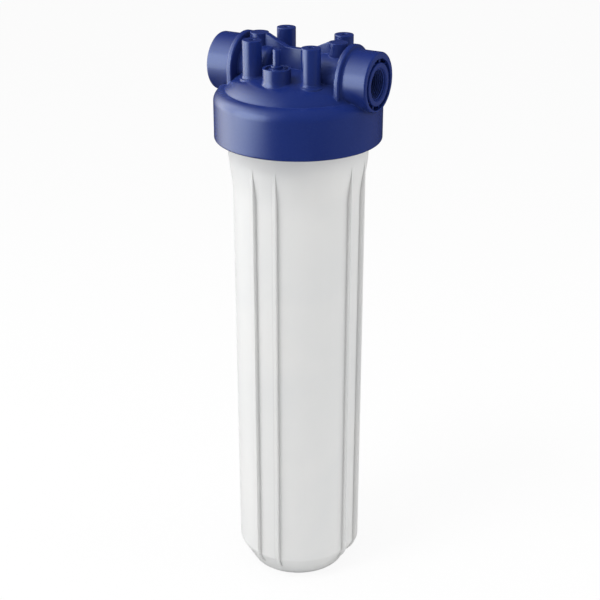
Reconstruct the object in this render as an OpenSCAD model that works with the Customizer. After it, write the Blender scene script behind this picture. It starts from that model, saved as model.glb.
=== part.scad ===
// Tall cartridge filter housing: a blue moulded head with two side ports
// screwed onto a white finned sump that holds one large pleated cartridge.
// Millimetres, +Z up, origin at the centre of the sump's foot, ports along X.

/* [Sump] */
// radius of the sump wall under the flare
sump_r = 72.6; // [71:0.2:74]
// radius of the sump wall just above the tapered bottom
sump_low_r = 71.2; // [69.5:0.1:72]
// wall thickness of the sump
sump_wall = 6.4; // [5.5:0.1:7]
// radius to the outer edge of the fins, under the flare
fin_r = 77.3; // [76:0.1:77.3]
// radius to the outer edge of the fins, above the tapered bottom
fin_low_r = 76.4; // [75.5:0.1:77]
// thickness of one fin
fin_t = 4; // [3:0.5:6]
// angle from a pair's centre to each of its fins
fin_angle = 10.5; // [9:0.5:13]
// height of the lower edge of the flare
flare_z = 474; // [471:1:478]
// height of the upper edge of the flare
flare_top = 521; // [518:1:524]
// slope of the tapered bottom, in degrees from upright
bottom_tilt = 30; // [26:1:34]
// outer radius of the foot ring
foot_r = 56; // [54:0.5:58]

/* [Head] */
// height of the head's lower edge
skirt_z = 535; // [531:1:539]
// outer radius of the head's skirt
skirt_r = 92.4; // [91:0.2:94]
// height of the flat top of the skirt's shoulder
shoulder_z = 589; // [587:0.5:591]
// radius of the skirt's rounded shoulder
shoulder_round = 12.5; // [9:0.5:14]
// radius of the dome's rounded slope
dome_round = 40; // [39.5:0.1:40.5]
// height of the centre of the dome
dome_top = 611; // [609:0.5:613]
// height of the mounting posts' tops
post_top = 645; // [640:1:650]
// radius of a mounting post
post_r = 10.5; // [9.5:0.1:11]
// half the spacing of the posts along and across the ports
post_half = 36; // [35:0.5:37]
// radius of the screw hole in a post
post_hole_r = 3.4; // [3:0.1:4]

/* [Ports] */
// height of the port axis
port_z = 608; // [606:0.5:610]
// drop of the pipe thread's axis below the axis of the barrel
bore_drop = 2.2; // [0:0.1:2.4]
// distance from the housing's axis to a port face
port_x = 97.5; // [96:0.5:99]
// outer radius of a port barrel
barrel_r = 32; // [31:0.2:33]
// inner radius of a port barrel
barrel_in_r = 27.4; // [27:0.1:28]
// radius of the arched plate behind each barrel
plate_r = 36.6; // [35.5:0.1:37]
// wall radius of the pipe thread in a port insert
thread_r = 16.65; // [16:0.05:17]
// outer radius of a port insert's collar
insert_r = 23; // [22:0.2:24]
// length of a port insert
insert_len = 17; // [15:0.5:18]

/* [Vent] */
// distance of the vent from the housing's axis, towards the front
vent_y = 45; // [43:0.5:46]
// outer radius of the vent collar
vent_collar_r = 15; // [14:0.5:16]
// height of the vent collar's top
vent_collar_top = 621; // [619:0.5:623]
// radius of the vent stem
vent_stem_r = 4.2; // [4:0.1:4.5]
// height of the vent stem's top
vent_stem_top = 641; // [638:0.5:643]

/* [Cartridge] */
// outer radius of the end caps
cap_r = 57; // [56:0.2:57.6]
// height of the lower gasket's underside
cart_z = 20; // [19.5:0.5:21]
// overall length with gaskets
cart_len = 508; // [506:0.5:508.5]
// outer radius of the pleats
pleat_r = 54.6; // [53:0.2:55]
// number of pleats
pleats = 36; // [30:1:40]

/* [Hidden] */
$fn = 96;
e = 0.5;
neck_r = 80.2;
nose_r = 77.5;
nose_z = 566;
rim_z = 581;
groove_z = 574;
groove_h = 5.8;
groove_r = 72.4;
oring_cord = 2.75;
oring_r = 75.2;
neck_in_r = 69.5;
floor_z = 12;
base_z = 3;
foot_in_r = 47;
fin_low_z = 4;
fin_round = 36;
bottom_round = 8;
bottom_z = (sump_low_r - bottom_round * (1 - cos(bottom_tilt)) - foot_r) / tan(bottom_tilt)
    + bottom_round * sin(bottom_tilt);
collar_r = 77.4;
flare_steps = 10;
skirt_in_r = 83.6;
seat_bore_r = 78;
seat_step_z = 567;
ceiling_z = 583;
dome_c_r = 47.5;
dome_c_z = 565.3;
shell = 5.8;
chamber_z = dome_c_z + dome_round - shell;
nipple_r = 20;
nipple_in_r = 13;
channel_r = 15;
lead_in = 1.5;
bore_z = port_z - bore_drop;
plate_x = 62.5;
plate_t = 6.5;
plate_edge = 1.8;
plate_fillet = 2.6;
pipe_r = 24;
pipe_end = 28;
pipe_end_round = 4;
barrel_edge = 1.6;
duct_z = 583;
duct_r = 18.5;
drop_x = 45;
drop_r = 13.5;
pad_x = 48.5;
pad_r = 10.2;
post_fillet = 3;
web_t = 7;
web_low = 633;
vent_bore_r = 8;
vent_floor = 607;
blend_z = 608.6;
blend_h = 10;
blend_w = 9;
vent_cup_r = 12.4;
vent_cup_z = 617.4;
vent_hole_r = 3.6;
vent_pin_r = 3;
flange_z = 613.6;
cart_top = cart_z + cart_len;
gasket_t = 4;
cap_t = 12;
cap_lip = 9;
core_in_r = 15;
core_r = 17.4;

// upper right corner piece that rounds a square edge at r, z
module corner_cut(r, z, f) {
    translate([r - f, z - f])
        difference() {
            square(f + 1);
            circle(f);
        }
}

// lower right corner piece that rounds a square edge at r, z
module low_corner_cut(r, z, f) {
    translate([r - f, z + f])
        difference() {
            translate([0, -f - 1])
                square(f + 1);
            circle(f);
        }
}

// skirt, shoulder and dome as one turned shell
module head_shell_profile() {
    difference() {
        translate([0, skirt_z])
            square([skirt_r, shoulder_z - skirt_z]);
        corner_cut(skirt_r, shoulder_z, shoulder_round);
        low_corner_cut(skirt_r, skirt_z, 2);
    }
    intersection() {
        translate([dome_c_r, dome_c_z])
            circle(dome_round);
        translate([dome_c_r, ceiling_z])
            square(dome_round);
    }
    polygon([
        [0, ceiling_z], [dome_c_r, ceiling_z],
        [dome_c_r, dome_c_z + dome_round], [0, dome_top]
    ]);
}

// the hollow inside the head: thread bore, seal bore and domed chamber
module head_chamber_profile() {
    translate([0, skirt_z - 1])
        square([skirt_in_r, seat_step_z - skirt_z + 1]);
    translate([0, seat_step_z - 1])
        square([seat_bore_r, ceiling_z - seat_step_z + 1]);
    intersection() {
        translate([dome_c_r, dome_c_z])
            circle(dome_round - shell);
        translate([dome_c_r, ceiling_z - 1])
            square(seat_bore_r - dome_c_r);
    }
    translate([0, ceiling_z - 1])
        square([dome_c_r + e, chamber_z - ceiling_z + 1]);
}

// half outline of one port, turned about the barrel's axis: pipe body, plate and barrel
module port_profile() {
    difference() {
        translate([0, pipe_end])
            square([pipe_r, plate_x - pipe_end + 1]);
        low_corner_cut(pipe_r, pipe_end, pipe_end_round);
    }
    difference() {
        translate([0, plate_x])
            square([barrel_r, port_x - plate_x]);
        corner_cut(barrel_r, port_x, barrel_edge);
    }
    difference() {
        translate([0, plate_x])
            square([plate_r, plate_t]);
        corner_cut(plate_r, plate_x + plate_t, plate_edge);
        low_corner_cut(plate_r, plate_x, plate_edge);
    }
    translate([barrel_r, plate_x + plate_t])
        difference() {
            translate([-1, -1])
                square(plate_fillet + 1);
            translate([plate_fillet, plate_fillet])
                circle(plate_fillet);
        }
}

// bar with rounded corners, seen from above
module rounded_bar(w, t, f) {
    square([w - 2 * f, t], center = true);
    square([w, t - 2 * f], center = true);
    for (sx = [-1, 1], sy = [-1, 1])
        translate([sx * (w / 2 - f), sy * (t / 2 - f)])
            circle(f);
}

// one port: the turned form, and the legs that carry its plate down to the shoulder
module port(s) {
    translate([0, 0, port_z])
        rotate([0, 90 * s, 0])
            rotate_extrude()
                port_profile();
    translate([s * (plate_x + plate_t / 2), 0, skirt_z + 40])
        linear_extrude(height = port_z - skirt_z - 40)
            rounded_bar(plate_t, 2 * plate_r, plate_edge);
}

// mounting post with a rounded top and a small fillet leaning with the dome
module post() {
    rotate_extrude()
        difference() {
            translate([0, chamber_z + 1])
                square([post_r, post_top - chamber_z - 1]);
            corner_cut(post_r, post_top, 0.7);
        }
    translate([0, 0, dome_c_z + dome_round - 0.4])
        rotate([0, 6, 0])
            rotate_extrude()
                difference() {
                    translate([0, -4])
                        square([post_r + post_fillet, 4 + post_fillet]);
                    translate([post_r + post_fillet, post_fillet])
                        circle(post_fillet);
                }
}

// vent collar, widening at its base to blend into the dome
module vent_collar_profile() {
    polygon(concat(
        [[0, blend_z - blend_h]],
        [
            for (a = [90:-15:0])
                [vent_collar_r + blend_w * (1 - cos(a)), blend_z - blend_h * sin(a)]
        ],
        [[vent_collar_r, vent_collar_top], [0, vent_collar_top]]
    ));
}

// web between the two pipe bodies, dropping to a low saddle in the middle
module head_web() {
    rotate([90, 0, 0])
        linear_extrude(height = web_t, center = true)
            polygon([
                [-pad_x, chamber_z + 2], [-pad_x, post_top - 0.6],
                [-pad_x + 11, post_top - 0.6], [-13, web_low],
                [13, web_low], [pad_x - 11, post_top - 0.6],
                [pad_x, post_top - 0.6], [pad_x, chamber_z + 2]
            ]);
}

module head_outside() {
    rotate_extrude()
        head_shell_profile();
    port(1);
    port(-1);
    head_web();
    for (sx = [-1, 1]) {
        translate([sx * pad_x, 0, port_z])
            cylinder(r = pad_r, h = post_top - port_z);
        for (sy = [-1, 1])
            translate([sx * post_half, sy * post_half, 0])
                rotate([0, 0, sx > 0 ? sy * 45 : 180 - sy * 45])
                    post();
    }
    translate([0, -vent_y, 0])
        rotate_extrude()
            vent_collar_profile();
}

// outlet passage under the dome and the nipple that seats on the cartridge
module outlet_duct() {
    translate([0, 0, duct_z])
        rotate([0, 90, 0])
            cylinder(r = duct_r, h = drop_x);
    translate([drop_x, 0, duct_z - duct_r])
        cylinder(r = duct_r, h = chamber_z - duct_z + duct_r + 1);
    translate([0, 0, cart_top + 0.2])
        cylinder(r = nipple_r, h = chamber_z - cart_top + 1);
}

module head() {
    color([0.13, 0.18, 0.43])
        difference() {
            union() {
                difference() {
                    head_outside();
                    rotate_extrude()
                        head_chamber_profile();
                }
                outlet_duct();
            }
            // barrels with room for the inserts, and the channels behind them
            for (s = [-1, 1])
                translate([0, 0, bore_z])
                    rotate([0, 90 * s, 0]) {
                        translate([0, 0, port_x - insert_len])
                            cylinder(r = barrel_in_r, h = insert_len + e);
                        translate([0, 0, pipe_end + 6])
                            cylinder(r = channel_r, h = port_x - insert_len - pipe_end - 6 + e);
                    }
            // outlet: down from the port, along the duct, then down the nipple
            translate([drop_x, 0, duct_z])
                cylinder(r = drop_r, h = port_z - duct_z);
            translate([0, 0, duct_z])
                rotate([0, 90, 0])
                    cylinder(r = nipple_in_r, h = drop_x);
            translate([0, 0, cart_top - e])
                cylinder(r = nipple_in_r, h = duct_z - cart_top + e);
            // inlet: down from the port into the chamber
            translate([-drop_x, 0, chamber_z - 12])
                cylinder(r = drop_r, h = port_z - chamber_z + 12);
            // screw holes in the posts
            for (sx = [-1, 1], sy = [-1, 1])
                translate([sx * post_half, sy * post_half, post_top - 26])
                    cylinder(r = post_hole_r, h = 26 + e);
            // vent bore with a cupped top, stepped to a small hole into the chamber
            translate([0, -vent_y, vent_cup_z])
                cylinder(r = vent_cup_r, h = vent_collar_top - vent_cup_z + e);
            translate([0, -vent_y, vent_floor])
                cylinder(r = vent_bore_r, h = vent_collar_top - vent_floor + e);
            translate([0, -vent_y, chamber_z - 1])
                cylinder(r = vent_hole_r, h = vent_floor - chamber_z + 2);
        }
}

// threaded collar held in a barrel by a ring of keying ribs
module port_insert() {
    difference() {
        union() {
            rotate_extrude()
                difference() {
                    square([insert_r, insert_len]);
                    corner_cut(insert_r, insert_len, 0.9);
                }
            for (i = [0:11])
                rotate([0, 0, 30 * i + 15])
                    translate([insert_r - 1, -1.6, 0])
                        cube([barrel_in_r - 0.1 - insert_r + 1, 3.2, insert_len - 3]);
        }
        translate([0, 0, -e])
            cylinder(r = thread_r, h = insert_len + 2 * e);
        translate([0, 0, insert_len - lead_in])
            cylinder(r1 = thread_r, r2 = thread_r + lead_in + e, h = lead_in + e);
        // groove for the face seal at the inner end
        translate([0, 0, -e])
            difference() {
                cylinder(r = 21.4, h = 1.8 + e);
                translate([0, 0, -e])
                    cylinder(r = 18.2, h = 3 + 2 * e);
            }
    }
}

module outlet_insert() {
    color([0.13, 0.18, 0.43])
        translate([port_x - insert_len, 0, bore_z])
            rotate([0, 90, 0])
                port_insert();
}

module inlet_insert() {
    color([0.13, 0.18, 0.43])
        translate([-port_x + insert_len, 0, bore_z])
            rotate([0, -90, 0])
                port_insert();
}

// rubber face seals behind the two inserts
module port_seals() {
    color([0.08, 0.08, 0.09])
        for (s = [-1, 1])
            translate([s * (port_x - insert_len + 0.9), 0, bore_z])
                rotate([0, 90, 0])
                    rotate_extrude()
                        translate([19.8, 0])
                            circle(0.85);
}

// six-sided bushing screwed into the vent collar, its boss guiding the stem
module vent_bushing() {
    color([0.13, 0.18, 0.43])
        translate([0, -vent_y, 0])
            difference() {
                union() {
                    translate([0, 0, 616.4])
                        cylinder(r = vent_bore_r - 0.05, h = vent_cup_z - 616.4 + 1);
                    translate([0, 0, vent_cup_z])
                        cylinder(r = 9.6, h = 2.6, $fn = 6);
                    translate([0, 0, vent_cup_z])
                        cylinder(r = 6.4, h = 6.4);
                }
                translate([0, 0, 616])
                    cylinder(r = vent_stem_r + 0.06, h = 12);
            }
}

// push stem of the pressure-relief vent
module vent_stem() {
    color([0.13, 0.18, 0.43])
        translate([0, -vent_y, 0])
            rotate_extrude()
                difference() {
                    union() {
                        translate([0, 593])
                            square([vent_pin_r, flange_z - 592]);
                        translate([0, flange_z])
                            square([6.8, 2.4]);
                        translate([0, flange_z + 1])
                            square([vent_stem_r, vent_stem_top - flange_z - 1]);
                    }
                    corner_cut(vent_stem_r, vent_stem_top, 0.8);
                }
}

spring_r = 5.2;
wire_r = 0.45;
spring_turns = 3;
spring_low = vent_floor + wire_r + 0.05;
spring_rise = flange_z - vent_floor - 2 * wire_r - 0.1;
spring_steps = 24 * spring_turns;
spring_sides = 8;

// return spring under the stem's flange, a plain open coil
module vent_spring() {
    pts = [
        for (i = [0:spring_steps], j = [0:spring_sides - 1])
            let (
                a = 360 * spring_turns * i / spring_steps,
                b = 360 * j / spring_sides,
                r = spring_r + wire_r * cos(b)
            )
            [
                r * cos(a), r * sin(a),
                spring_low + spring_rise * i / spring_steps + wire_r * sin(b)
            ]
    ];
    walls = [
        for (i = [0:spring_steps - 1], j = [0:spring_sides - 1])
            let (k = (j + 1) % spring_sides)
            [
                i * spring_sides + j, i * spring_sides + k,
                (i + 1) * spring_sides + k, (i + 1) * spring_sides + j
            ]
    ];
    ends = [
        [for (j = [spring_sides - 1:-1:0]) j],
        [for (j = [0:spring_sides - 1]) spring_steps * spring_sides + j]
    ];
    color([0.75, 0.76, 0.78])
        translate([0, -vent_y, 0])
            polyhedron(points = pts, faces = concat(walls, ends), convexity = 6);
}

// small ring that closes the vent hole from below
module vent_seal() {
    color([0.08, 0.08, 0.09])
        translate([0, -vent_y, chamber_z - 1.55])
            rotate_extrude()
                translate([vent_pin_r + 1.35, 0])
                    circle(1.3);
}

// retaining washer on the stem's lower end
module vent_clip() {
    color([0.75, 0.76, 0.78])
        translate([0, -vent_y, chamber_z - 4.6])
            difference() {
                cylinder(r = 6, h = 1.6);
                translate([0, 0, -e])
                    cylinder(r = vent_pin_r + 0.02, h = 1.6 + 2 * e);
            }
}

// soft S-shaped rise of the flare from the wall out to the collar
function flare_rise() = [
    for (i = [0:flare_steps])
        [
            sump_r + (collar_r - sump_r) * (1 - cos(180 * i / flare_steps)) / 2,
            flare_z + (flare_top - flare_z) * i / flare_steps
        ]
];

// softened edge between the tapered bottom and the wall
function bottom_edge() = [
    for (i = [0:3])
        [
            sump_low_r - bottom_round * (1 - cos(bottom_tilt * (1 - i / 3))),
            bottom_z - bottom_round * sin(bottom_tilt * (1 - i / 3))
        ]
];

module sump_outside_profile() {
    difference() {
        polygon(concat(
            [[0, base_z], [foot_in_r, base_z], [foot_in_r, 0], [foot_r, 0]],
            bottom_edge(),
            flare_rise(),
            [
                [collar_r, skirt_z - 3], [neck_r, skirt_z - 2], [neck_r, nose_z - 3],
                [nose_r, nose_z], [nose_r, rim_z], [0, rim_z]
            ]
        ));
        translate([groove_r, groove_z - groove_h / 2])
            square([10, groove_h]);
        corner_cut(nose_r, rim_z, 1);
    }
}

module sump_inside_profile() {
    in_low = sump_low_r - sump_wall;
    in_foot = foot_r - sump_wall / cos(bottom_tilt);
    polygon([
        [0, floor_z], [in_foot + floor_z * tan(bottom_tilt), floor_z],
        [in_low, (in_low - in_foot) / tan(bottom_tilt)], [sump_r - sump_wall, flare_z],
        [neck_in_r, flare_top + 4], [neck_in_r, rim_z + 1], [0, rim_z + 1]
    ]);
}

// one upright fin with its foot rounded in under the sump
module sump_fin() {
    curve_z = fin_low_z + fin_round;
    rotate([90, 0, 0])
        linear_extrude(height = fin_t, center = true) {
            translate([fin_low_r - fin_round, curve_z])
                circle(fin_round);
            polygon([
                [fin_low_r - 14, curve_z], [fin_low_r, curve_z],
                [fin_r, flare_top + 1], [fin_r - 14, flare_top + 1]
            ]);
        }
}

module sump() {
    color([0.93, 0.93, 0.92]) {
        difference() {
            union() {
                rotate_extrude()
                    sump_outside_profile();
                for (i = [0:3], s = [-1, 1])
                    rotate([0, 0, 90 * i + s * fin_angle])
                        sump_fin();
            }
            rotate_extrude()
                sump_inside_profile();
        }
        // seat ring and locating post for the cartridge
        rotate_extrude() {
            translate([16.5, floor_z - 1])
                square([4, cart_z - floor_z + 0.8]);
            translate([9, floor_z - 1])
                square([4.4, 24]);
        }
    }
}

// large seal ring in the groove of the sump's rim
module sump_seal() {
    color([0.08, 0.08, 0.09])
        translate([0, 0, groove_z])
            rotate_extrude()
                translate([oring_r, 0])
                    circle(oring_cord);
}

// closed zigzag of the pleats, each fold with a flat tip and a flat root
function fold(r_out, r_in, w_out, w_in) = [
    for (i = [0:pleats - 1])
        let (a = 360 * i / pleats, h = 180 / pleats)
        for (p = [[r_out, a - w_out], [r_out, a + w_out], [r_in, a + h - w_in], [r_in, a + h + w_in]])
            [p[0] * cos(p[1]), p[0] * sin(p[1])]
];

module pleat_pack() {
    tip = 90 / pleats;
    color([0.95, 0.95, 0.93])
        translate([0, 0, cart_z + gasket_t + cap_t])
            linear_extrude(height = cart_len - 2 * gasket_t - 2 * cap_t)
                difference() {
                    polygon(fold(pleat_r, core_r + 2.2, tip * 0.62, tip * 0.58));
                    polygon(fold(pleat_r - 1.2, core_r + 0.6, tip * 0.28, tip * 1.42));
                }
}

// bands round the pleats that keep the folds evenly spaced
module pleat_bands() {
    color([0.9, 0.92, 0.95])
        for (i = [1:3])
            translate([0, 0, cart_z + cart_len * i / 4 - 6])
                difference() {
                    cylinder(r = pleat_r + 0.9, h = 12);
                    translate([0, 0, -e])
                        cylinder(r = pleat_r + 0.1, h = 12 + 2 * e);
                }
}

// slotted tube that carries the clean water up to the nipple
module core_tube() {
    core_z = cart_z + gasket_t + 4;
    core_len = cart_len - 2 * gasket_t - 8;
    color([0.85, 0.87, 0.9])
        translate([0, 0, core_z])
            difference() {
                cylinder(r = core_r, h = core_len);
                translate([0, 0, -e])
                    cylinder(r = core_in_r, h = core_len + 2 * e);
                for (k = [0:9], a = [0, 90])
                    translate([0, 0, 34 + k * (core_len - 68) / 9])
                        rotate([0, 0, a + 45 * (k % 2)])
                            cube([2 * core_r + 2, 7, 26], center = true);
            }
}

// cup-shaped end cap, its lip round the pleats, open for the core
module end_cap() {
    difference() {
        cylinder(r = cap_r, h = cap_t + cap_lip);
        translate([0, 0, cap_t])
            cylinder(r = pleat_r + 0.2, h = cap_lip + e);
        translate([0, 0, -e])
            cylinder(r = core_in_r, h = cap_t + cap_lip);
        translate([0, 0, 4])
            cylinder(r = core_r + 0.1, h = cap_t + cap_lip);
    }
}

module lower_cap() {
    color([0.2, 0.28, 0.55])
        translate([0, 0, cart_z + gasket_t])
            end_cap();
}

module upper_cap() {
    color([0.2, 0.28, 0.55])
        translate([0, 0, cart_top - gasket_t])
            mirror([0, 0, 1])
                end_cap();
}

// flat rubber ring between an end cap and its seat
module gasket() {
    difference() {
        cylinder(r = 27, h = gasket_t);
        translate([0, 0, -e])
            cylinder(r = core_in_r, h = gasket_t + 2 * e);
    }
}

module lower_gasket() {
    color([0.1, 0.1, 0.11])
        translate([0, 0, cart_z])
            gasket();
}

module upper_gasket() {
    color([0.1, 0.1, 0.11])
        translate([0, 0, cart_top - gasket_t])
            gasket();
}

head();
inlet_insert();
outlet_insert();
port_seals();
vent_bushing();
vent_stem();
vent_spring();
vent_seal();
vent_clip();
sump();
sump_seal();
pleat_pack();
pleat_bands();
core_tube();
upper_cap();
lower_cap();
upper_gasket();
lower_gasket();
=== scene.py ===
import math

import bmesh
import bpy
from mathutils import Matrix, Vector


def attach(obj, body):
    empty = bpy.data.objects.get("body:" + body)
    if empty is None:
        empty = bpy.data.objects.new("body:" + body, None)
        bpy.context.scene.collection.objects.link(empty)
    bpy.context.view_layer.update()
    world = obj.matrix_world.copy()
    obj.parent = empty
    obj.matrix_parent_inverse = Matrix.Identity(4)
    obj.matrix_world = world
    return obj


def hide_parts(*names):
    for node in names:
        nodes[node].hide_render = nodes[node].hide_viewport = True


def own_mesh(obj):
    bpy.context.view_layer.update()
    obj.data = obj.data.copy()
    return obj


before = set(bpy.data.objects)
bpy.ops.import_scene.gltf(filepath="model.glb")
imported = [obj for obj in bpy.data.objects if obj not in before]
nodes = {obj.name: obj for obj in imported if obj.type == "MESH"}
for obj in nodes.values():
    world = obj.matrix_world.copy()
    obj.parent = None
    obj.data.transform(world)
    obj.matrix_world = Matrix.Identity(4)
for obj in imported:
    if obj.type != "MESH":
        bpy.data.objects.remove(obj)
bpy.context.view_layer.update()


# Sump: the tall white bowl, injection moulded in one piece from unfilled polypropylene,
# with eight fins that stiffen it and give a wrench its grip. The skin is satin, faintly
# rippled by the flow of the melt, and a little light passes into the wall.
def add_node(tree, kind, values=None, **setup):
    """A new node in a shader tree: first its mode, then the values on its own sockets."""
    node = tree.nodes.new(kind)
    for name, mode in setup.items():
        setattr(node, name, mode)
    for socket, value in (values or {}).items():
        node.inputs[socket].default_value = value
    return node


def new_effect(name, takes, gives):
    """An empty node group: what it takes, each with its usual value, and what it gives."""
    group = bpy.data.node_groups.new(name, "ShaderNodeTree")
    for label, usual in takes.items():
        socket = group.interface.new_socket(
            name=label, in_out="INPUT", socket_type="NodeSocketFloat",
        )
        socket.default_value = usual
    for label, kind in gives.items():
        group.interface.new_socket(name=label, in_out="OUTPUT", socket_type=kind)
    return group, add_node(group, "NodeGroupInput"), add_node(group, "NodeGroupOutput")


def mould_skin():
    """Fine spark-eroded grain over the slow ripples that the cooling melt leaves."""
    group, given, put = new_effect(
        "mould_skin",
        {"Grain Scale": 1400.0, "Ripple Scale": 18.0, "Ripple Share": 0.5},
        dict.fromkeys(("Height", "Gloss", "Cloud"), "NodeSocketFloat"),
    )
    link = group.links.new
    place = add_node(group, "ShaderNodeTexCoord")
    grain = add_node(group, "ShaderNodeTexNoise", {"Detail": 3.0, "Roughness": 0.6})
    ripple = add_node(group, "ShaderNodeTexNoise", {"Detail": 2.0, "Distortion": 0.6})
    for noise, scale in ((grain, "Grain Scale"), (ripple, "Ripple Scale")):
        link(place.outputs["Object"], noise.inputs["Vector"])
        link(given.outputs[scale], noise.inputs["Scale"])
    height = add_node(group, "ShaderNodeMix")
    link(given.outputs["Ripple Share"], height.inputs["Factor"])
    link(grain.outputs["Fac"], height.inputs["A"])
    link(ripple.outputs["Fac"], height.inputs["B"])
    gloss = add_node(group, "ShaderNodeMapRange", {"From Min": 0.3, "From Max": 0.7})
    link(grain.outputs["Fac"], gloss.inputs["Value"])
    cloud = add_node(group, "ShaderNodeMapRange", {"From Min": 0.32, "From Max": 0.68})
    link(ripple.outputs["Fac"], cloud.inputs["Value"])
    link(height.outputs["Result"], put.inputs["Height"])
    link(gloss.outputs["Result"], put.inputs["Gloss"])
    link(cloud.outputs["Result"], put.inputs["Cloud"])
    return group


def soft_edge():
    """The small radius that a mould leaves on every edge, and a mask of where it is rubbed."""
    group, given, put = new_effect(
        "soft_edge",
        {"Edge Radius": 0.001},
        {"Normal": "NodeSocketVector", "Rub": "NodeSocketFloat"},
    )
    link = group.links.new
    bevel = add_node(group, "ShaderNodeBevel", samples=6)
    flat = add_node(group, "ShaderNodeNewGeometry")
    turn = add_node(group, "ShaderNodeVectorMath", operation="DOT_PRODUCT")
    rub = add_node(group, "ShaderNodeMapRange", {"From Min": 0.985, "From Max": 0.8})
    link(given.outputs["Edge Radius"], bevel.inputs["Radius"])
    link(bevel.outputs["Normal"], turn.inputs[0])
    link(flat.outputs["Normal"], turn.inputs[1])
    link(turn.outputs["Value"], rub.inputs["Value"])
    link(bevel.outputs["Normal"], put.inputs["Normal"])
    link(rub.outputs["Result"], put.inputs["Rub"])
    return group


def nook_shade():
    """How open a point lies: 1 on a free face, down to the darkest share deep in a corner."""
    group, given, put = new_effect(
        "nook_shade", {"Reach": 0.006, "Darkest": 0.5}, {"Shade": "NodeSocketFloat"},
    )
    link = group.links.new
    nook = add_node(group, "ShaderNodeAmbientOcclusion", samples=8, only_local=True)
    dim = add_node(group, "ShaderNodeMapRange", {"From Min": 0.35, "From Max": 0.85})
    link(given.outputs["Reach"], nook.inputs["Distance"])
    link(nook.outputs["AO"], dim.inputs["Value"])
    link(given.outputs["Darkest"], dim.inputs["To Min"])
    link(dim.outputs["Result"], put.inputs["Shade"])
    return group


skin_group = mould_skin()
edge_group = soft_edge()
nook_group = nook_shade()


def srgb(r, g, b):
    """A colour read off a screen, as the linear value that a shader takes."""
    return tuple(
        c / 12.92 if c <= 0.04045 else ((c + 0.055) / 1.055) ** 2.4
        for c in (r / 255.0, g / 255.0, b / 255.0)
    ) + (1.0,)


def new_finish(name):
    """A new material, with its tree and its shader."""
    mat = bpy.data.materials.new(name)
    mat.use_nodes = True
    return mat, mat.node_tree, mat.node_tree.nodes["Principled BSDF"]


def moulded_plastic(name, colour, cloud, rubbed, rough, grain, ripple, relief, edge):
    """A moulded plastic: two near colours drift through each other, rubbed edges are paler."""
    mat, tree, shader = new_finish(name)
    link = tree.links.new
    skin = add_node(
        tree, "ShaderNodeGroup", {"Grain Scale": grain, "Ripple Scale": ripple},
        node_tree=skin_group,
    )
    border = add_node(tree, "ShaderNodeGroup", {"Edge Radius": edge}, node_tree=edge_group)
    drift = add_node(tree, "ShaderNodeMix", {"A": colour, "B": cloud}, data_type="RGBA")
    link(skin.outputs["Cloud"], drift.inputs["Factor"])
    wear = add_node(tree, "ShaderNodeMix", {"B": rubbed}, data_type="RGBA")
    link(border.outputs["Rub"], wear.inputs["Factor"])
    link(drift.outputs["Result"], wear.inputs["A"])
    link(wear.outputs["Result"], shader.inputs["Base Color"])
    spread = 0.05
    gloss = add_node(
        tree, "ShaderNodeMapRange", {"To Min": rough - spread, "To Max": rough + spread},
    )
    link(skin.outputs["Gloss"], gloss.inputs["Value"])
    link(gloss.outputs["Result"], shader.inputs["Roughness"])
    bump = add_node(tree, "ShaderNodeBump", {"Strength": 0.35, "Distance": relief})
    link(skin.outputs["Height"], bump.inputs["Height"])
    link(border.outputs["Normal"], bump.inputs["Normal"])
    link(bump.outputs["Normal"], shader.inputs["Normal"])
    shader.inputs["IOR"].default_value = 1.49
    return mat


def dress(mat, *names):
    """Gives carried-over solids their finish."""
    for name in names:
        mesh = nodes[name].data
        mesh.materials.clear()
        mesh.materials.append(mat)


sump_white = moulded_plastic(
    "sump_white", srgb(230, 230, 229), srgb(225, 226, 226), srgb(236, 236, 235),
    rough=0.42, grain=1500.0, ripple=9.0, relief=0.00006, edge=0.0016,
)
sump_tree = sump_white.node_tree
sump_skin = sump_tree.nodes["Principled BSDF"]
sump_skin.inputs["Specular IOR Level"].default_value = 0.12
sump_skin.inputs["Subsurface Weight"].default_value = 0.05
sump_skin.inputs["Subsurface Radius"].default_value = (1.0, 0.95, 0.9)
sump_skin.inputs["Subsurface Scale"].default_value = 0.004
# Painted shade: the base colour is darkened in the corners beside the fins, where shade falls.
fin_corner_shade = add_node(
    sump_tree, "ShaderNodeGroup", {"Reach": 0.006, "Darkest": 0.66}, node_tree=nook_group,
)
painted_corner_shade = add_node(
    sump_tree, "ShaderNodeMix", {"Factor": 1.0}, data_type="RGBA", blend_type="MULTIPLY",
)
tint = sump_skin.inputs["Base Color"].links[0].from_socket
sump_tree.links.new(tint, painted_corner_shade.inputs["A"])
sump_tree.links.new(fin_corner_shade.outputs["Shade"], painted_corner_shade.inputs["B"])
sump_tree.links.new(painted_corner_shade.outputs["Result"], sump_skin.inputs["Base Color"])
dress(sump_white, "sump")


# Sump thread: the coarse outside thread on the sump's neck, moulded with it,
# one start with a 9 mm lead and a sloped run-out at both ends.
def skinned(name, rings, smooth):
    """A closed piece skinned over rings of points, one after the other, and capped."""
    bm = bmesh.new()
    rows = [[bm.verts.new(point) for point in ring] for ring in rings]
    for a, b in zip(rows, rows[1:]):
        for i in range(len(a)):
            k = (i + 1) % len(a)
            bm.faces.new((a[i], a[k], b[k], b[i]))
    bm.faces.new(rows[0])
    bm.faces.new(rows[-1][::-1])
    bmesh.ops.recalc_face_normals(bm, faces=bm.faces)
    for side in bm.faces:
        side.smooth = smooth
    mesh = bpy.data.meshes.new(name)
    bm.to_mesh(mesh)
    bm.free()
    piece = bpy.data.objects.new(name, mesh)
    bpy.context.collection.objects.link(piece)
    return piece


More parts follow.
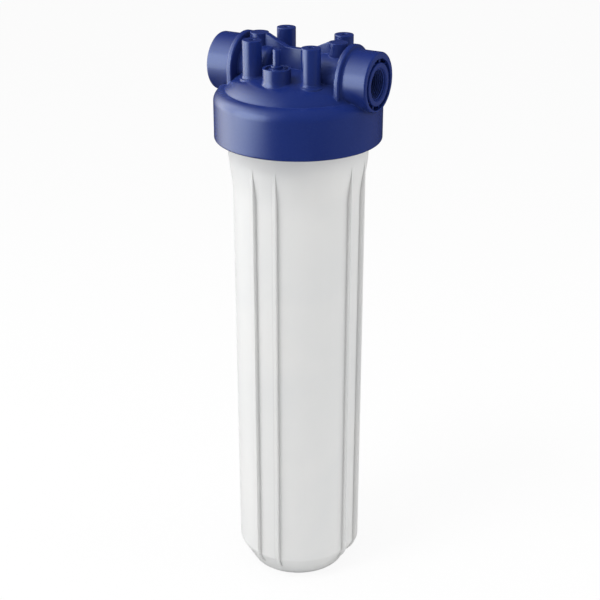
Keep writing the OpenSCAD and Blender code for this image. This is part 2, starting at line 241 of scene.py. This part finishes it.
def helix_ridge(name, root, crest, lead, low, high, foot, tip, start=0.0, steps=72):
    """A thread ridge round +Z from root to crest radius, its ends run out into the wall."""
    count = int((high - low) / lead * steps)
    run_out = steps // 6
    least_rise = 0.03
    end_width = 0.25
    sunk = root - math.copysign(0.0003, crest - root)
    rings = []
    for i in range(count + 1):
        angle = start + 2 * math.pi * i / steps
        z = low + lead * i / steps
        rise = max(min(1.0, i / run_out, (count - i) / run_out), least_rise)
        top = root + (crest - root) * rise
        width = end_width + (1.0 - end_width) * rise
        rings.append([
            (radius * math.cos(angle), radius * math.sin(angle), z + dz * width)
            for radius, dz in (
                (sunk, -foot), (root, -foot), (top, -tip),
                (top, tip), (root, foot), (sunk, foot),
            )
        ])
    return skinned(name, rings, smooth=False)


screw_lead = 0.009
ridge_foot, ridge_tip = 0.0021, 0.0009
sump_thread_low, sump_thread_high = 0.5375, 0.5600
sump_thread = helix_ridge(
    "sump_thread", root=0.0802, crest=0.0826, lead=screw_lead,
    low=sump_thread_low, high=sump_thread_high, foot=ridge_foot, tip=ridge_tip,
)
sump_thread.data.materials.append(sump_white)
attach(sump_thread, "sump")


# Gate mark: the trimmed stub under the sump where the melt was let in,
# a low button with a dished end, left inside the foot so that it never
# touches the floor.
def turned_button(name, profile, steps=48):
    """A small round form turned about +Z through the given radius and height pairs."""
    turns = [2 * math.pi * i / steps for i in range(steps)]
    rings = [
        [(r * math.cos(turn), r * math.sin(turn), z) for turn in turns] for r, z in profile
    ]
    return skinned(name, rings, smooth=True)


gate_mark = turned_button("gate_mark", (
    (0.0060, 0.0034), (0.0060, 0.0028), (0.0050, 0.0022), (0.0038, 0.0019),
    (0.0030, 0.0019), (0.0024, 0.0023), (0.0012, 0.0025),
))
gate_mark.data.materials.append(sump_white)
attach(gate_mark, "sump")


# Seals: the large ring in the sump's rim, the face rings behind the port
# collars, the little vent ring and the two flat cartridge gaskets, all
# pressed from black EPDM with a dull, faintly dusty skin.
def seal_rubber():
    mat, tree, shader = new_finish("seal_rubber")
    link = tree.links.new
    skin = add_node(
        tree, "ShaderNodeGroup",
        {"Grain Scale": 2200.0, "Ripple Scale": 60.0, "Ripple Share": 0.25},
        node_tree=skin_group,
    )
    bloom = add_node(tree, "ShaderNodeValToRGB")
    clean, dusty = bloom.color_ramp.elements
    clean.position, clean.color = 0.35, (0.010, 0.010, 0.011, 1.0)
    dusty.position, dusty.color = 0.95, (0.035, 0.035, 0.037, 1.0)
    link(skin.outputs["Cloud"], bloom.inputs["Fac"])
    link(bloom.outputs["Color"], shader.inputs["Base Color"])
    dull = add_node(tree, "ShaderNodeMapRange", {"To Min": 0.48, "To Max": 0.68})
    link(skin.outputs["Cloud"], dull.inputs["Value"])
    link(dull.outputs["Result"], shader.inputs["Roughness"])
    bump = add_node(tree, "ShaderNodeBump", {"Strength": 0.4, "Distance": 0.00005})
    link(skin.outputs["Height"], bump.inputs["Height"])
    link(bump.outputs["Normal"], shader.inputs["Normal"])
    return mat


dress(seal_rubber(), "sump_seal", "port_seals", "vent_seal", "upper_gasket", "lower_gasket")


# Cartridge media: spun polyester sheet folded into 36 deep pleats, white
# with a felted tangle of fibres, and painted shade greys it a little down in the folds.
def pleat_felt():
    mat, tree, shader = new_finish("pleat_felt")
    link = tree.links.new
    place = add_node(tree, "ShaderNodeTexCoord")
    stretch = add_node(tree, "ShaderNodeMapping", {"Scale": (1.0, 1.0, 0.25)})
    fibre = add_node(
        tree, "ShaderNodeTexNoise", {"Scale": 1100.0, "Detail": 5.0, "Distortion": 2.5},
    )
    link(place.outputs["Object"], stretch.inputs["Vector"])
    link(stretch.outputs["Vector"], fibre.inputs["Vector"])
    across = add_node(
        tree, "ShaderNodeVectorMath", {1: (1.0, 1.0, 0.0)}, operation="MULTIPLY",
    )
    reach = add_node(tree, "ShaderNodeVectorMath", operation="LENGTH")
    link(place.outputs["Object"], across.inputs[0])
    link(across.outputs["Vector"], reach.inputs[0])
    # Painted shade: the sheet turns greyer towards the core, deep in the folds.
    fold_shade_depth = add_node(tree, "ShaderNodeMapRange", {"From Min": 0.018, "From Max": 0.055})
    link(reach.outputs["Value"], fold_shade_depth.inputs["Value"])
    painted_fold_shade = add_node(
        tree, "ShaderNodeMix", {"A": srgb(196, 195, 189), "B": srgb(240, 239, 235)},
        data_type="RGBA",
    )
    link(fold_shade_depth.outputs["Result"], painted_fold_shade.inputs["Factor"])
    fleck = add_node(
        tree, "ShaderNodeMix", {"Factor": 0.18}, data_type="RGBA", blend_type="MULTIPLY",
    )
    link(painted_fold_shade.outputs["Result"], fleck.inputs["A"])
    link(fibre.outputs["Color"], fleck.inputs["B"])
    link(fleck.outputs["Result"], shader.inputs["Base Color"])
    shader.inputs["Roughness"].default_value = 0.85
    shader.inputs["Sheen Weight"].default_value = 0.15
    bump = add_node(tree, "ShaderNodeBump", {"Strength": 0.6, "Distance": 0.0002})
    link(fibre.outputs["Fac"], bump.inputs["Height"])
    link(bump.outputs["Normal"], shader.inputs["Normal"])
    return mat


dress(pleat_felt(), "pleat_pack")


# Cartridge core and bands: natural polypropylene, extruded and slotted for
# the core, welded strip for the three bands that space the pleats.
core_natural = moulded_plastic(
    "core_natural", srgb(222, 226, 228), srgb(212, 217, 221), srgb(232, 235, 236),
    rough=0.36, grain=1800.0, ripple=14.0, relief=0.00004, edge=0.0005,
)
dress(core_natural, "core_tube", "pleat_bands")


# Cartridge end caps: cup-shaped mouldings that the pleats are potted into,
# mid blue, softer and duller than the head.
cap_blue = moulded_plastic(
    "cap_blue", srgb(60, 82, 150), srgb(52, 73, 140), srgb(84, 105, 168),
    rough=0.5, grain=1300.0, ripple=22.0, relief=0.00008, edge=0.0008,
)
dress(cap_blue, "upper_cap", "lower_cap")


# Head: the deep blue cover, injection moulded from polypropylene with its
# ports, plates, posts, web and vent collar in one shot. The skin is a fine
# satin, and the loose edges of posts and barrels are rubbed slightly paler.
head_blue = moulded_plastic(
    "head_blue", srgb(26, 45, 114), srgb(24, 41, 107), srgb(46, 67, 143),
    rough=0.24, grain=1500.0, ripple=11.0, relief=0.00007, edge=0.0014,
)
head_tree = head_blue.node_tree
head_skin = head_tree.nodes["Principled BSDF"]
head_skin.inputs["Specular Tint"].default_value = (0.74, 0.87, 1.0, 1.0)
# Down between plates, pipes and posts the tool was never polished, so the skin is dull.
gap = add_node(
    head_tree, "ShaderNodeGroup", {"Reach": 0.030, "Darkest": 0.0}, node_tree=nook_group,
)
dull = add_node(head_tree, "ShaderNodeMix", {"A": 0.75})
polish = head_skin.inputs["Roughness"].links[0].from_socket
head_tree.links.new(gap.outputs["Shade"], dull.inputs["Factor"])
head_tree.links.new(polish, dull.inputs["B"])
head_tree.links.new(dull.outputs["Result"], head_skin.inputs["Roughness"])
dress(head_blue, "head", "inlet_insert", "outlet_insert", "vent_bushing", "vent_stem")


# Head thread: the matching inside thread in the head's skirt, moulded with
# it, half a lead out of step so that the sump's ridge runs between its turns.
head_thread_low, head_thread_high = 0.5400, 0.5620
in_step = 2 * math.pi * (head_thread_low - sump_thread_low) / screw_lead
head_thread = helix_ridge(
    "head_thread", root=0.0836, crest=0.0812, lead=screw_lead,
    low=head_thread_low, high=head_thread_high, foot=ridge_foot, tip=ridge_tip,
    start=math.pi + in_step,
)
head_thread.data.materials.append(head_blue)
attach(head_thread, "head")


# Pipe threads: the one-inch inside threads moulded in the two port collars,
# fine ridges that end short of the face so that a fitting starts easily.
seat_gap, face_gap = 0.0020, 0.0025
for side, collar in ((1, "outlet"), (-1, "inlet")):
    points = [v.co for v in nodes[collar + "_insert"].data.vertices]
    inner = min(abs(p.x) for p in points)
    outer = max(abs(p.x) for p in points)
    bore_z = (min(p.z for p in points) + max(p.z for p in points)) / 2
    pipe_thread = helix_ridge(
        collar + "_pipe_thread", root=0.01665, crest=0.01545, lead=0.002209,
        low=seat_gap, high=outer - inner - face_gap, foot=0.00095, tip=0.00022, steps=48,
    )
    into_bore = Matrix.Translation((side * inner, 0.0, bore_z))
    along_bore = Matrix.Rotation(side * math.pi / 2, 4, "Y")
    pipe_thread.data.transform(into_bore @ along_bore)
    pipe_thread.data.materials.append(head_blue)
    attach(pipe_thread, "head")


# Vent spring and clip: a coil of drawn stainless wire under the stem's
# flange and a pressed washer on its lower end, with fine draw lines.
def drawn_steel():
    mat, tree, shader = new_finish("drawn_steel")
    link = tree.links.new
    shader.inputs["Metallic"].default_value = 1.0
    place = add_node(tree, "ShaderNodeTexCoord")
    lines = add_node(tree, "ShaderNodeTexNoise", {"Scale": 2600.0, "Detail": 4.0})
    link(place.outputs["Object"], lines.inputs["Vector"])
    tone = add_node(
        tree, "ShaderNodeMix", {"A": srgb(168, 170, 174), "B": srgb(202, 204, 206)},
        data_type="RGBA",
    )
    link(lines.outputs["Fac"], tone.inputs["Factor"])
    link(tone.outputs["Result"], shader.inputs["Base Color"])
    brush = add_node(tree, "ShaderNodeMapRange", {"To Min": 0.18, "To Max": 0.36})
    link(lines.outputs["Fac"], brush.inputs["Value"])
    link(brush.outputs["Result"], shader.inputs["Roughness"])
    return mat


dress(drawn_steel(), "vent_spring", "vent_clip")
wire = nodes["vent_spring"]
vent_coil = bpy.data.objects.new("vent_coil", wire.data.copy())
vent_coil.matrix_world = wire.matrix_world
bpy.context.collection.objects.link(vent_coil)
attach(vent_coil, "head")
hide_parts("vent_spring")
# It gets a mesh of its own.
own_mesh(vent_coil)


# Studio floor: a pale seamless sheet. Camera rays see it almost white, so it
# runs into the background, and it still takes the housing's soft shadow.
half = 6.0
floor_mesh = bpy.data.meshes.new("floor")
floor_mesh.from_pydata(
    [(-half, -half, 0.0), (half, -half, 0.0), (half, half, 0.0), (-half, half, 0.0)],
    [], [(0, 1, 2, 3)],
)
floor = bpy.data.objects.new("floor", floor_mesh)
bpy.context.collection.objects.link(floor)
floor_paper, tree, plain_shader = new_finish("floor_paper")
tree.nodes.remove(plain_shader)
link = tree.links.new
paper = add_node(tree, "ShaderNodeBsdfDiffuse", {"Color": (0.85, 0.85, 0.85, 1.0)})
sight = add_node(tree, "ShaderNodeLightPath")
glow = add_node(tree, "ShaderNodeEmission")
white_share = 0.86
share = add_node(tree, "ShaderNodeMath", {1: white_share}, operation="MULTIPLY")
sheet = add_node(tree, "ShaderNodeMixShader")
link(sight.outputs["Is Camera Ray"], share.inputs[0])
link(share.outputs["Value"], sheet.inputs["Fac"])
link(paper.outputs["BSDF"], sheet.inputs[1])
link(glow.outputs["Emission"], sheet.inputs[2])
link(sheet.outputs["Shader"], tree.nodes["Material Output"].inputs["Surface"])
floor_mesh.materials.append(floor_paper)
floor.visible_glossy = False


# Studio room: white behind the housing for the camera, and a soft sky, brightest overhead,
# for its shade. For gloss it is a dark room with a bright wall on the left, which fades off
# to the sides, and a dim one on the right.
world = bpy.data.worlds.new("studio_room")
bpy.context.scene.world = world
world.use_nodes = True
tree = world.node_tree
link = tree.links.new
room = tree.nodes["Background"]
room.inputs["Color"].default_value = (1.0, 1.0, 1.0, 1.0)
sight = add_node(tree, "ShaderNodeLightPath")
place = add_node(tree, "ShaderNodeTexCoord")
wall_side = (-0.860, -0.458, 0.208)
wall_fall_off = 3.2
wall_strength = 5.0
towards = add_node(tree, "ShaderNodeVectorMath", {1: wall_side}, operation="DOT_PRODUCT")
link(place.outputs["Generated"], towards.inputs[0])
shade = add_node(tree, "ShaderNodeMapRange", {"From Min": 0.18, "From Max": 0.85})
link(towards.outputs["Value"], shade.inputs["Value"])
fade = add_node(tree, "ShaderNodeMath", {1: wall_fall_off}, operation="POWER")
link(shade.outputs["Result"], fade.inputs[0])
wall = add_node(tree, "ShaderNodeMath", {1: wall_strength}, operation="MULTIPLY_ADD")
link(fade.outputs["Value"], wall.inputs[0])
far_side = add_node(
    tree, "ShaderNodeMapRange",
    {"From Min": -0.55, "From Max": -0.95, "To Min": 0.05, "To Max": 0.26},
)
link(towards.outputs["Value"], far_side.inputs["Value"])
link(far_side.outputs["Result"], wall.inputs[2])
height = add_node(tree, "ShaderNodeSeparateXYZ")
link(place.outputs["Generated"], height.inputs["Vector"])
sky = add_node(tree, "ShaderNodeMapRange", {"To Min": 0.40, "To Max": 1.08})
link(height.outputs["Z"], sky.inputs["Value"])
gloss = add_node(tree, "ShaderNodeMix")
link(sight.outputs["Is Glossy Ray"], gloss.inputs["Factor"])
link(sky.outputs["Result"], gloss.inputs["A"])
link(wall.outputs["Value"], gloss.inputs["B"])
seen = add_node(tree, "ShaderNodeMath", operation="MAXIMUM")
link(sight.outputs["Is Camera Ray"], seen.inputs[0])
link(sight.outputs["Is Transmission Ray"], seen.inputs[1])
white = add_node(tree, "ShaderNodeMix", {"B": 1.0})
link(seen.outputs["Value"], white.inputs["Factor"])
link(gloss.outputs["Result"], white.inputs["A"])
link(white.outputs["Result"], room.inputs["Strength"])


# Lamps: soft boxes for the shade alone. The key stands high in front, on the left,
# and lays the head's shadow on the sump. A low one stands at the left, and a weak
# fill at the right.
def soft_box(name, place, aim, size, watts):
    """A square lamp that faces a point and stays out of the camera's sight."""
    lamp = bpy.data.lights.new(name, "AREA")
    lamp.size = size
    lamp.energy = watts
    box = bpy.data.objects.new(name, lamp)
    box.location = place
    box.rotation_euler = (Vector(aim) - box.location).to_track_quat("-Z", "Y").to_euler()
    box.visible_camera = False
    bpy.context.collection.objects.link(box)
    return box


sump_middle = (0.0, 0.0, 0.40)
for name, place, size, watts in (
    ("key_lamp", (-0.45, -1.00, 2.10), 0.6, 14.5),
    ("left_lamp", (-1.35, -0.75, 0.75), 1.2, 3.6),
    ("right_lamp", (1.35, 0.70, 0.85), 1.0, 4.6),
):
    soft_box(name, place, sump_middle, size, watts).visible_glossy = False


# Port lamp: a small soft box close by at the front left, for gloss alone. It stands
# level with the ports, so it draws the long light along the barrels and the posts.
head_middle = (0.0, 0.0, 0.62)
port_lamp = soft_box("port_lamp", (-0.36, -0.53, 0.68), head_middle, size=0.55, watts=2.4)
port_lamp.visible_diffuse = False


# Camera: stands to the right of the front, well above the head, and looks
# down along the housing through a long lens.
camera_data = bpy.data.cameras.new("studio_camera")
camera_data.sensor_width = 36.0
camera_data.lens = 82.28
camera_data.shift_x = 0.00283
camera = bpy.data.objects.new("studio_camera", camera_data)
distance, eye_height, pitch = 1.450, 0.9789, 23.833
around = math.radians(30.14)
camera.location = (distance * math.sin(around), -distance * math.cos(around), eye_height)
camera.rotation_euler = (math.radians(90.0 - pitch), 0.0, around)
bpy.context.collection.objects.link(camera)
bpy.context.scene.camera = camera
bpy.context.scene.view_settings.view_transform = "Standard"
